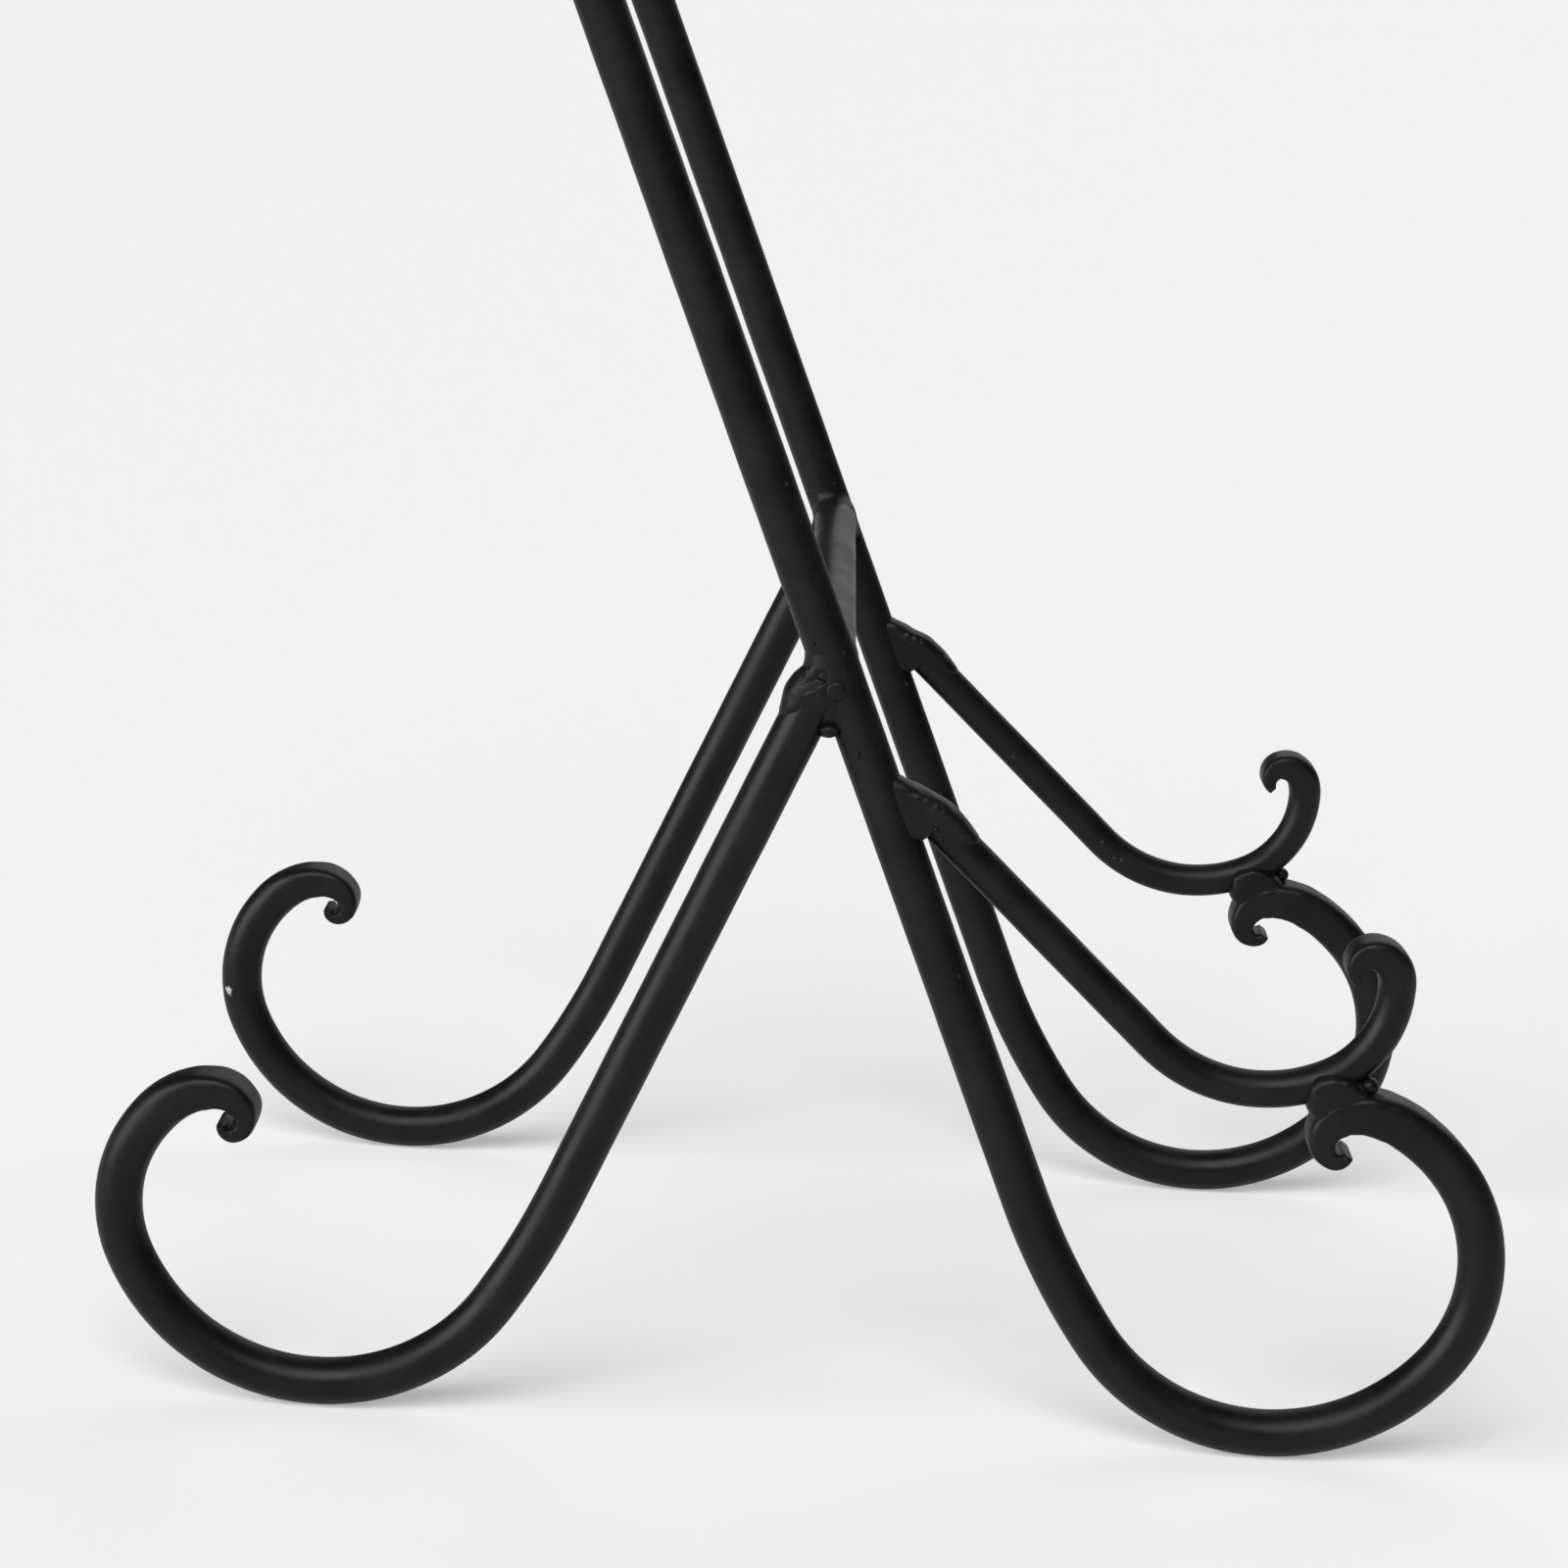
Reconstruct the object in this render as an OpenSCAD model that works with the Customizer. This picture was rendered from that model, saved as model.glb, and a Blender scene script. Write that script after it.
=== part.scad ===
// Wrought-iron display easel: two side frames of bent round bar, joined by crossbars.
// The front faces -Y, the floor is Z = 0 and X = 0 is the plane of symmetry.
// Every bar of a side frame lies in one upright plane, so its path is drawn in
// that plane (u forward, v up) and then stood up at its own X.

/* [Frame] */
// Distance between the planes of the two side frames, mm
frame_spacing = 152; // [110:1:200]
// Height of the point where the rear leg meets the upright, mm
joint_height = 134; // [110:1:170]
// Lean of the uprights back from vertical, degrees
upright_lean = 22.4; // [15:0.1:30]
// Lean of the rear legs forward from vertical, degrees
leg_lean = 23.4; // [18:0.1:32]
// Straight run of the upright above the joint, mm
top_run = 158; // [150:1:260]
// Distance of the upper crossbar above the joint, along the upright, mm
upper_bar_run = 141; // [60:1:148]
// Distance of the lower crossbar below the joint, along the upright, less than 0 is above it, mm
lower_bar_drop = -0.7; // [-6:0.1:12]

/* [Bars] */
// Diameter of the main bar, paint included, mm
bar_d = 8.1; // [6:0.1:10]
// Diameter of the shelf hook bar, paint included, mm
hook_d = 6.4; // [5:0.1:8]

/* [Front foot] */
// Radius of the first slow bend, mm
front_ease_r = 123; // [80:1:180]
// Angle of the first slow bend, degrees
front_ease_a = 12.9; // [5:0.1:20]
// Radius of the loop under the foot, mm
front_loop_r = 36.7; // [28:0.1:46]
// Angle of the loop under the foot, degrees
front_loop_a = 106.2; // [90:0.1:120]
// Radius where the loop comes back over, mm
front_close_r = 27.3; // [20:0.1:34]
// Angle where the loop comes back over, degrees
front_close_a = 75.5; // [60:0.1:85]
// Length of bar drawn out into the front tip, mm
front_tip_len = 36.5; // [30:0.1:42]

/* [Rear foot] */
// Radius of the first slow bend, mm
rear_ease_r = 128; // [80:1:180]
// Angle of the first slow bend, degrees
rear_ease_a = 10; // [5:0.1:20]
// Radius of the loop under the foot, mm
rear_loop_r = 35.6; // [28:0.1:46]
// Angle of the loop under the foot, degrees
rear_loop_a = 122.8; // [100:0.1:135]
// Radius where the loop comes back over, mm
rear_close_r = 23.2; // [18:0.1:30]
// Angle where the loop comes back over, degrees
rear_close_a = 66.8; // [50:0.1:85]
// Length of bar drawn out into the rear tip, mm
rear_tip_len = 25.4; // [20:0.1:32]

/* [Shelf hook] */
// Slope of the straight part below horizontal, degrees
hook_slope = 43; // [30:0.5:55]
// Radius of the dip that holds the plate edge, mm
hook_dip_r = 27; // [20:0.1:34]
// Angle of the dip, degrees
hook_dip_a = 67; // [55:0.1:72]
// Radius of the rise at the front, mm
hook_rise_r = 18; // [14:0.1:24]
// Angle of the rise at the front, degrees
hook_rise_a = 64.5; // [45:0.1:75]
// Length of bar drawn out into the hook tip, mm
hook_tip_len = 15.3; // [12:0.1:20]
// Heading of the front foot where the hook rests on it, degrees
rest_heading = 205; // [190:1:225]

/* [Upper scroll] */
// Radius of the scroll at the top of the upright, mm
top_r = 17; // [12:0.1:24]
// Angle turned before the upper tip is drawn out, degrees
top_a = 78; // [50:1:100]
// Length of bar drawn out into the upper tip, mm
top_tip_len = 25.4; // [20:0.1:32]

/* [Welds] */
// Gap left between two bars before welding, mm
root_gap = 0.3; // [0.2:0.05:0.6]
// How far a bead stands proud of the bar, mm
bead = 1.3; // [0.6:0.1:2]

/* [Hidden] */
bar_r = bar_d / 2;
hook_r = hook_d / 2;
down = upright_lean - 90;
back = -90 - leg_lean;
bar_fn = 64;
ring = 16;
steps = 22;
hair = 0.02;
lead = 0.4;
// Forged tips: length, first radius, last radius, how late it tightens,
// last thickness, width at the end, how late it thins.
front_tip = [front_tip_len, 34, 1.95, 3.4, 1.4, bar_d * 1.2, 3];
rear_tip = [rear_tip_len, 15.3, 1.5, 3, 1.3, bar_d * 1.2, 1.2];
top_tip = [top_tip_len, 14, 1.5, 3, 1.3, bar_d * 1.2, 1.2];
hook_tip = [hook_tip_len, 17.9, 2.35, 0.82, 1.5, hook_d * 1.3, 2];

// A move is [length, 0] for a straight run or [radius, angle] for a bend.
// Where a point ends up after one move, as [u, v, heading].
function go(p, m) = m[1] == 0
  ? [p[0] + m[0] * cos(p[2]), p[1] + m[0] * sin(p[2]), p[2]]
  : [p[0] + sign(m[1]) * m[0] * (sin(p[2] + m[1]) - sin(p[2])),
     p[1] - sign(m[1]) * m[0] * (cos(p[2] + m[1]) - cos(p[2])),
     p[2] + m[1]];
function go_all(p, moves, i = 0) = i == len(moves) ? p : go_all(go(p, moves[i]), moves, i + 1);

// The centre line of a forged tip: heading and position at each station.
function tip_turn(tip, t) =
  (tip[0] / tip[1] * t + tip[0] * (1 / tip[2] - 1 / tip[1]) * pow(t, tip[3] + 1) / (tip[3] + 1)) * 180 / PI;
function tip_line(tip, side, p, i = 0) = i == steps
  ? [p]
  : concat([p], tip_line(tip, side, tip_next(tip, side, p, i), i + 1));
function tip_next(tip, side, p, i) =
  let (h = p[2] + side * (tip_turn(tip, (i + 0.5) / steps) - tip_turn(tip, i / steps)),
       l = tip[0] / steps)
  [p[0] + l * cos(h), p[1] + l * sin(h), p[2] + side * (tip_turn(tip, (i + 1) / steps) - tip_turn(tip, i / steps))];
function tip_thick(tip, d, t) = d + (tip[4] - d) * pow(t, tip[6]);
function tip_width(tip, d, t) = d + (tip[5] - d) * sin(90 * min(1, 1.6 * t));
// A round section that squares up as it is hammered.
function squared(c, n) = sign(c) * pow(abs(c), 2 / n);

// Front foot: the straight run is whatever brings the loop down to the floor.
front_bends = [[front_ease_r, front_ease_a], [front_loop_r, front_loop_a], [front_close_r, front_close_a]];
front_drop = -go([go([0, 0, down], front_bends[0])[0], go([0, 0, down], front_bends[0])[1], down + front_ease_a],
                 [front_loop_r, -(down + front_ease_a)])[1];
front_run = (joint_height - bar_r - front_drop) / cos(upright_lean);
front_moves = concat([[front_run, 0]], front_bends);
upright_top = [-top_run * sin(upright_lean), joint_height + top_run * cos(upright_lean)];
upright_run = top_run + front_run;
front_end = go_all([0, joint_height, down], front_moves);
front_line = tip_line(front_tip, 1, front_end);

// Rear foot, the same way, turning the other way round.
rear_bends = [[rear_ease_r, -rear_ease_a], [rear_loop_r, -rear_loop_a], [rear_close_r, -rear_close_a]];
rear_drop = -go([0, go([0, 0, back], rear_bends[0])[1], back - rear_ease_a],
                [rear_loop_r, -(180 + back - rear_ease_a)])[1];
rear_run = (joint_height - bar_r - rear_drop) / cos(leg_lean);
rear_moves = concat([[rear_run, 0]], rear_bends);
rear_end = go_all([0, joint_height, back], rear_moves);

// The hook rests on the front foot and reaches back to the upright.
at = [for (i = [0 : steps]) [front_line[i][2], i]];
rest_i = lookup(rest_heading, at);
rest_u = lookup(rest_i, [for (i = [0 : steps]) [i, front_line[i][0]]]);
rest_v = lookup(rest_i, [for (i = [0 : steps]) [i, front_line[i][1]]]);
rest_t = tip_thick(front_tip, bar_d, rest_i / steps);
rest_n = [sin(rest_heading), -cos(rest_heading)];
rest_gap = rest_t / 2 + root_gap + hook_r;
rest_p = [rest_u + rest_n[0] * rest_gap, rest_v + rest_n[1] * rest_gap];
dip_start_h = -hook_slope;
dip_end = go([0, 0, dip_start_h], [hook_dip_r, hook_dip_a]);
rest_bend = rest_heading - 180 - dip_end[2];
rest_from = abs(rest_bend) < 0.01 ? dip_end
  : rest_bend > 0 ? go(dip_end, [hook_rise_r, rest_bend]) : go(dip_end, [hook_dip_r, rest_bend]);
dip_u = rest_p[0] - rest_from[0];
dip_v = rest_p[1] - rest_from[1];
front_n = [cos(upright_lean), sin(upright_lean)];
hook_dir = [cos(hook_slope), -sin(hook_slope)];
hook_up = [sin(hook_slope), cos(hook_slope)];
dip_out = dip_u * front_n[0] + (dip_v - joint_height) * front_n[1];
hook_run = (dip_out - hook_r * (hook_up * front_n) - bar_r - root_gap) / (hook_dir * front_n);
hook_start = [dip_u - hook_run * hook_dir[0], dip_v - hook_run * hook_dir[1], -hook_slope];
hook_moves = [[hook_run, 0], [hook_dip_r, hook_dip_a], [hook_rise_r, hook_rise_a]];
hook_end = go_all(hook_start, hook_moves);

// Upper scroll, drawn upwards from the joint.
top_moves = [[top_r, top_a]];
top_end = go_all([upright_top[0], upright_top[1], 90 + upright_lean], top_moves);

// The middle of the footprint goes to Y = 0.
front_reach = go_all([0, joint_height, down],
  [front_moves[0], front_moves[1], front_moves[2], [front_close_r, 90 - (down + front_ease_a + front_loop_a)]])[0];
rear_top = go_all([0, joint_height, back], [rear_moves[0], rear_moves[1], rear_moves[2]]);
rear_reach = go(rear_top, [rear_close_r, -(rear_top[2] + 270)])[0];
mid_u = (front_reach + rear_reach) / 2;

black = [0.07, 0.07, 0.08];
bead_grey = [0.13, 0.13, 0.14];

// Stand a drawing of the side frame up on its own side, -1 left or 1 right.
module stand(side) {
  translate([side * frame_spacing / 2, mid_u, 0])
    rotate([90, 0, -90])
      children();
}

module straight(l, r) {
  rotate([0, 90, 0])
    cylinder(h = l, r = r, $fn = bar_fn);
}

// A bend can run on past both its ends, into its neighbours.
module bend(br, a, r, past) {
  on = past / br * 180 / PI;
  if (a > 0)
    translate([0, br, 0])
      rotate([0, 0, -90 - on])
        rotate_extrude(angle = a + 2 * on, $fn = 96)
          translate([br, 0])
            circle(r = r, $fn = bar_fn);
  else
    mirror([0, 1, 0])
      bend(br, -a, r, past);
}

// Lay a bar along its moves, each move starting where the last one ended.
// Every other bend is a hair thinner and runs into its neighbours, so they fuse.
module bar(moves, r, odd = 0, i = 0) {
  if (i < len(moves)) {
    thin = (i + odd) % 2;
    if (moves[i][1] == 0)
      straight(moves[i][0], r);
    else
      bend(moves[i][0], moves[i][1], r - thin * hair, thin * lead);
    next = go([0, 0, 0], moves[i]);
    translate([next[0], next[1], 0])
      rotate([0, 0, next[2]])
        bar(moves, r, odd, i + 1);
  }
}

// A bar end hammered flat, spread sideways and rolled up.
module forged_tip(tip, side, d) {
  line = concat([[-lead, 0, 0]], tip_line(tip, side, [0, 0, 0]));
  n = len(line);
  pts = [for (j = [0 : n - 1])
    let (t = max(0, j - 1) / steps,
         thick = j < 2 ? d * 0.985 : tip_thick(tip, d, t),
         wide = j < 2 ? d * 0.985 : tip_width(tip, d, t),
         q = 2 + 2.2 * min(1, 1.6 * t))
    for (k = [0 : ring - 1])
      let (a = 360 * k / ring,
           off = squared(cos(a), q) * thick / 2)
      [line[j][0] - sin(line[j][2]) * off, line[j][1] + cos(line[j][2]) * off, squared(sin(a), q) * wide / 2]];
  side_faces = [for (j = [0 : n - 2])
    for (k = [0 : ring - 1])
      [j * ring + k, (j + 1) * ring + k, (j + 1) * ring + (k + 1) % ring, j * ring + (k + 1) % ring]];
  caps = [[for (k = [0 : ring - 1]) k], [for (k = [ring - 1 : -1 : 0]) (n - 1) * ring + k]];
  polyhedron(points = pts, faces = concat(side_faces, caps), convexity = 6);
}

module at_pose(p) {
  translate([p[0], p[1], 0])
    rotate([0, 0, p[2]])
      children();
}

// The long straight run of the upright.
module upright_rod() {
  at_pose([upright_top[0], upright_top[1], down])
    straight(upright_run, bar_r);
}

module upright(side) {
  color(black)
    stand(side)
      union() {
        upright_rod();
        at_pose(go([0, joint_height, down], [front_run, 0]))
          bar(front_bends, bar_r, 1);
        at_pose([upright_top[0], upright_top[1], 90 + upright_lean])
          bar(top_moves, bar_r, 1);
        at_pose(front_end)
          forged_tip(front_tip, 1, bar_d);
        at_pose(top_end)
          forged_tip(top_tip, 1, bar_d);
      }
}

// Everything in front of the plane where the leg's mitred end meets the upright.
module mitre(gap) {
  at_pose([0, joint_height, down])
    translate([-40, -bar_r - gap, -20])
      cube([80, 40, 40]);
}

module leg_bar() {
  difference() {
    at_pose([0, joint_height, back])
      bar(rear_moves, bar_r);
    mitre(root_gap);
  }
}

module rear_leg(side) {
  color(black)
    stand(side)
      union() {
        leg_bar();
        at_pose(rear_end)
          forged_tip(rear_tip, -1, bar_d);
      }
}

module shelf_hook(side) {
  color(black)
    stand(side)
      union() {
        at_pose(hook_start)
          bar(hook_moves, hook_r);
        at_pose(hook_end)
          forged_tip(hook_tip, 1, hook_d);
      }
}

// A point on the upright's centre line, measured along it from the joint.
function on_upright(s) = [s * sin(upright_lean), joint_height - s * cos(upright_lean)];

module leg_piece() {
  difference() {
    at_pose([0, joint_height, back])
      straight(40, bar_r);
    mitre(root_gap);
  }
}

module crossbar(s) {
  half = frame_spacing / 2 - bar_r - root_gap;
  color(black)
    translate([0, mid_u - on_upright(s)[0], on_upright(s)[1]])
      rotate([0, 90, 0])
        cylinder(h = 2 * half, r = bar_r, center = true, $fn = bar_fn);
}

// The blob of weld metal that swallows the top of the leg.
module leg_blob() {
  mid = bar_r + root_gap;
  at_pose([0, joint_height, down])
    union() {
      translate([-0.1 * bar_r, -mid, 0])
        sphere(r = bar_r + 0.45 * bead, $fn = 48);
      translate([-1.2 * bar_r, -mid + 0.2, 0])
        sphere(r = 0.8 * bar_r, $fn = 48);
      translate([1.25 * bar_r, -mid + 0.3, 0])
        sphere(r = 0.75 * bar_r, $fn = 48);
    }
}

module leg_weld(side) {
  color(bead_grey)
    difference() {
      stand(side)
        difference() {
          leg_blob();
          upright_rod();
          leg_piece();
        }
      crossbar(lower_bar_drop);
    }
}

// Fills the open wedge between the square-cut hook end and the upright.
module hook_top_weld(side) {
  color(bead_grey)
    stand(side)
      difference() {
        at_pose(hook_start)
          union() {
            translate([-0.69 * hook_r, -0.06 * hook_r, 0])
              cylinder(h = 2 * hook_r + 0.7 * bead, r = 0.94 * hook_r, center = true, $fn = bar_fn);
            translate([-0.13 * hook_r, 0.5 * hook_r, 0])
              cylinder(h = 2 * hook_r + 0.3 * bead, r = 0.63 * hook_r, center = true, $fn = bar_fn);
            translate([-1.44 * hook_r, -0.28 * hook_r, 0])
              cylinder(h = 2 * hook_r - 0.3 * bead, r = 0.53 * hook_r, center = true, $fn = bar_fn);
          }
        upright_rod();
        at_pose(hook_start)
          straight(hook_run, hook_r);
      }
}

// Joins the underside of the hook to the top of the front foot.
module hook_foot_weld(side) {
  c = [rest_u + rest_n[0] * (rest_t / 2 + root_gap / 2), rest_v + rest_n[1] * (rest_t / 2 + root_gap / 2)];
  along = rest_heading - 180;
  color(bead_grey)
    stand(side)
      difference() {
        at_pose([c[0], c[1], along])
          union() {
            translate([-0.35 * hook_r, 0, 0])
              cylinder(h = 2 * hook_r + bead, r = 0.75 * hook_r, center = true, $fn = bar_fn);
            translate([0.75 * hook_r, 0, 0])
              cylinder(h = 2 * hook_r + 0.4 * bead, r = 0.62 * hook_r, center = true, $fn = bar_fn);
          }
        at_pose(hook_start)
          bar(hook_moves, hook_r);
        at_pose(front_end)
          forged_tip(front_tip, 1, bar_d);
      }
}

// A collar of weld metal round the end of a crossbar.
module collar(s, side, depth) {
  translate([side * (frame_spacing / 2 - bar_r - root_gap - depth), mid_u - on_upright(s)[0], on_upright(s)[1]])
    rotate([0, side * 90, 0])
      cylinder(h = depth + root_gap + 0.62 * bar_r, r1 = bar_r + 0.25 * bead, r2 = bar_r + bead, $fn = bar_fn);
}

module crossbar_weld(s, side) {
  color(bead_grey)
    difference() {
      collar(s, side, 1.5 * bead);
      crossbar(s);
      stand(side)
        union() {
          upright_rod();
          leg_piece();
          leg_blob();
        }
    }
}

upright(-1);  // left_upright
upright(1);  // right_upright
rear_leg(-1);  // left_rear_leg
rear_leg(1);  // right_rear_leg
shelf_hook(-1);  // left_shelf_hook
shelf_hook(1);  // right_shelf_hook
crossbar(lower_bar_drop);  // lower_crossbar
crossbar(-upper_bar_run);  // upper_crossbar
leg_weld(-1);  // left_leg_weld
leg_weld(1);  // right_leg_weld
hook_top_weld(-1);  // left_hook_top_weld
hook_top_weld(1);  // right_hook_top_weld
hook_foot_weld(-1);  // left_hook_foot_weld
hook_foot_weld(1);  // right_hook_foot_weld
crossbar_weld(lower_bar_drop, -1);  // left_lower_crossbar_weld
crossbar_weld(lower_bar_drop, 1);  // right_lower_crossbar_weld
crossbar_weld(-upper_bar_run, -1);  // left_upper_crossbar_weld
crossbar_weld(-upper_bar_run, 1);  // right_upper_crossbar_weld
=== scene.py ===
"""Forged bars, weld beads and black paint for a tabletop display easel of bent iron bar."""

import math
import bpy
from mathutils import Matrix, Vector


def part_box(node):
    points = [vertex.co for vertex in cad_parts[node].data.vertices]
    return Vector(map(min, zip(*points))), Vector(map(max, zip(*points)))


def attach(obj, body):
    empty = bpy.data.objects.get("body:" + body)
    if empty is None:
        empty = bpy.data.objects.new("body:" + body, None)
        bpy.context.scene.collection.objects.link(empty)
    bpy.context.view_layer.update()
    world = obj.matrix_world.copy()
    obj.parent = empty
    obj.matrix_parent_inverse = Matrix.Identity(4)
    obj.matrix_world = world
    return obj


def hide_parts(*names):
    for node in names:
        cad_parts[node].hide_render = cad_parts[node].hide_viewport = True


bl_info = {
    "name": "Scroll-footed display easel",
    "version": (1, 0, 0),
    "blender": (4, 5, 0),
    "location": "3D View > Sidebar > Easel",
    "description": "Forged bars, weld beads and black paint for a tabletop easel of bent iron bar",
    "category": "Add Mesh",
}

import bpy
import numpy as np
from bpy.props import FloatProperty, FloatVectorProperty, IntProperty, PointerProperty
from mathutils import Matrix

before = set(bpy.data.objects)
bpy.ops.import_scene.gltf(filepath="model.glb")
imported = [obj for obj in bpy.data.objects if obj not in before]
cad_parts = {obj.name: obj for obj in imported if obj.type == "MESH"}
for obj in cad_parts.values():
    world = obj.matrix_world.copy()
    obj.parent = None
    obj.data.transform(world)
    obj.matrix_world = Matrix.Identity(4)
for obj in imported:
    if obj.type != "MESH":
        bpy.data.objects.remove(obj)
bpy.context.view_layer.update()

MM = 0.001
SIDES = (("left", -1), ("right", 1))


# ---------------------------------------------------------------- where the frame stands


def middle(node):
    """The middle of a CAD node's box, as an array."""
    low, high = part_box(node)
    return (np.array(low) + np.array(high)) / 2


def extent(node, axis):
    """The size of a CAD node's box along one axis."""
    low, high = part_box(node)
    return high[axis] - low[axis]


BAR_D = extent("lower_crossbar", 2)
HOOK_D = extent("left_shelf_hook", 0) / 1.3
FRAME_X = abs(middle("left_upright")[0])
LOW_BAR = middle("lower_crossbar")[1:]
HIGH_BAR = middle("upper_crossbar")[1:]
# The upright's own direction, downwards, as (u, v): u is forward, towards -Y, and v is up.
DOWN = np.array([HIGH_BAR[0] - LOW_BAR[0], LOW_BAR[1] - HIGH_BAR[1]])
DOWN /= np.linalg.norm(DOWN)
LEAN = math.degrees(math.atan2(DOWN[0], -DOWN[1]))
LOW_BAR_DROP = -0.7 * MM
JOINT = np.array([0.0, LOW_BAR[1] - DOWN[1] * LOW_BAR_DROP])
JOINT_Y = LOW_BAR[0] + DOWN[0] * LOW_BAR_DROP
TOP_RUN = 158 * MM
LEG_LEAN = 23.4
HOOK_SLOPE = 43
HOOK_START = np.array([18.729, -26.389]) * MM
HOOK_RUN = 52.199 * MM

# A move is (length, 0) for a straight run or (radius, degrees) for a bend.
FRONT_BENDS = ((123 * MM, 12.9), (36.7 * MM, 106.2), (27.3 * MM, 75.5))
REAR_BENDS = ((128 * MM, -10), (35.6 * MM, -122.8), (23.2 * MM, -66.8))
HOOK_MOVES = ((HOOK_RUN, 0), (27 * MM, 67), (18 * MM, 64.5))
TOP_MOVES = ((TOP_RUN, 0), (17 * MM, 78))

# A forged tip: length, first radius, last radius, how late it tightens, last thickness,
# width over the bar's diameter, how late it thins.
FRONT_TIP = (36.5 * MM, 34 * MM, 1.95 * MM, 3.4, 1.9 * MM, 1.2, 3.6)
REAR_TIP = (25.4 * MM, 15.3 * MM, 1.5 * MM, 3, 1.8 * MM, 1.2, 1.45)
TOP_TIP = (25.4 * MM, 14 * MM, 1.5 * MM, 3, 1.8 * MM, 1.2, 1.45)
HOOK_TIP = (15.3 * MM, 17.9 * MM, 2.35 * MM, 0.82, 2.0 * MM, 1.3, 2.6)


def stand(u, v, x):
    """Stand points of the frame's drawing up in the room: X is x, Y is back from u, Z is v."""
    u, v, x = np.broadcast_arrays(u, v, x)
    return np.stack([x, JOINT_Y - u, v], -1)


# ---------------------------------------------------------------- weld drawings

# Outlines (u, v) and runs ((u, v, depth) path, radius) of weld metal, in mm. Depth is measured
# out from the frame's plane.
LEG_BLOB = ((0.0, 124.7), (2.4, 125.4), (3.6, 129.2), (2.2, 132.8), (-1.4, 134.8),
            (-4.4, 133.2), (-6.3, 131.2), (-7.9, 128.9), (-8.3, 126.6), (-8.7, 124.4),
            (-7.4, 122.9), (-5.0, 123.2), (-2.4, 124.3))
LEG_DRIP = ((1.9, 121.5), (2.2, 122.9), (0.2, 123.7), (-2.1, 122.9), (-1.8, 121.3), (0.1, 120.9))
LEG_RUNS = (
    (((-2.2, 134.6, 2.5), (-3.1, 131.6, 2.4), (-4.9, 129.2, 1.9), (-7.0, 127.6, 0.1)), 1.45),
    (((-6.8, 127.0, 0.0), (-4.4, 127.9, 2.5), (-1.6, 129.5, 2.8), (1.8, 131.8, 2.7)), 1.4),
)
HOOK_WEDGE = ((13.0, 104.0), (10.4, 107.6), (8.6, 110.8), (7.4, 113.6), (9.4, 115.6),
              (11.6, 115.3), (14.2, 114.1), (17.2, 112.8), (20.3, 111.3), (22.6, 109.3),
              (24.6, 107.1), (26.2, 104.9), (25.0, 102.6), (22.0, 104.8), (19.0, 106.2),
              (17.4, 105.2), (16.4, 104.4))
HOOK_RUNS = (
    (((11.6, 113.0, 1.9), (15.2, 111.6, 2.0), (18.8, 109.8, 2.0), (22.4, 107.2, 1.8)), 1.55),
)
FOOT_LUMP = ((83.2, 66.9), (84.6, 68.2), (87.1, 68.9), (89.7, 68.5), (92.0, 67.4),
             (93.4, 66.2), (93.6, 64.0), (92.6, 61.6), (90.2, 60.2), (87.0, 59.6),
             (84.6, 60.4), (83.2, 62.6), (82.9, 64.8))
# Round marks: middle u and v, half width, half height, corners drawn.
LEG_PLUG = (0.8, 129.3, 1.75, 1.7, 18)
FOOT_BALL = (93.6, 66.7, 1.6, 1.45, 12)
# How flat the faces of a lump are, how long its waves are, and how far a fillet is sunk.
FACE_POWER = 0.85
LUMP_SIZE = 5.2 * MM
RUN_LUMP_SIZE = 3.1 * MM
RUN_LUMP_HEIGHT = 0.07 * MM
FILLET_SINK = 0.06 * MM
# How far round, in radians, the corners of a round mark are spread.
ALMOST_ROUND = 6.28


# ---------------------------------------------------------------- bars


def bar_line(start, heading, moves, bar_d, tip=None, turn=1, step=0.8 * MM, fine=0.3 * MM):
    """The centre line of one bar and its section at each station.

    The heading grows evenly with length round a bend. Along the forged tip it grows by
    L/r0 t + L (1/r1 - 1/r0) t^(e+1) / (e+1), t being the share of the tip's length. Points
    are the running sum of steps taken along the heading halfway between stations."""
    run = np.array([m[0] if m[1] == 0 else m[0] * math.radians(abs(m[1])) for m in moves])
    bend = np.radians([m[1] for m in moves])
    knots = np.concatenate([[0], np.cumsum(run)])
    heads = math.radians(heading) + np.concatenate([[0], np.cumsum(bend)])
    body = knots[-1]
    s = np.linspace(0, body, int(body / step) + 2)
    if tip:
        s = np.concatenate([s, body + np.linspace(0, tip[0], int(tip[0] / fine) + 2)[1:]])

    def along(x):
        h = np.interp(x, knots, heads)
        if tip:
            t = np.clip((x - body) / tip[0], 0, 1)
            late = tip[3] + 1
            h = h + turn * (tip[0] / tip[1] * t
                            + tip[0] * (1 / tip[2] - 1 / tip[1]) * t ** late / late)
        return h

    mid = along((s[1:] + s[:-1]) / 2)
    ds = np.diff(s)
    u = start[0] + np.concatenate([[0], np.cumsum(np.cos(mid) * ds)])
    v = start[1] + np.concatenate([[0], np.cumsum(np.sin(mid) * ds)])
    t = np.clip((s - body) / tip[0], 0, 1) if tip else np.zeros_like(s)
    spread = np.minimum(1, 1.6 * t)
    thick = bar_d + ((tip[4] - bar_d) * t ** tip[6] if tip else 0 * t)
    wide = bar_d + ((tip[5] - 1) * bar_d * np.sin(np.pi / 2 * spread) if tip else 0 * t)
    return dict(u=u, v=v, h=along(s), s=s, thick=thick, wide=wide, q=2 + 3.6 * spread,
                forged=spread)


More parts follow.
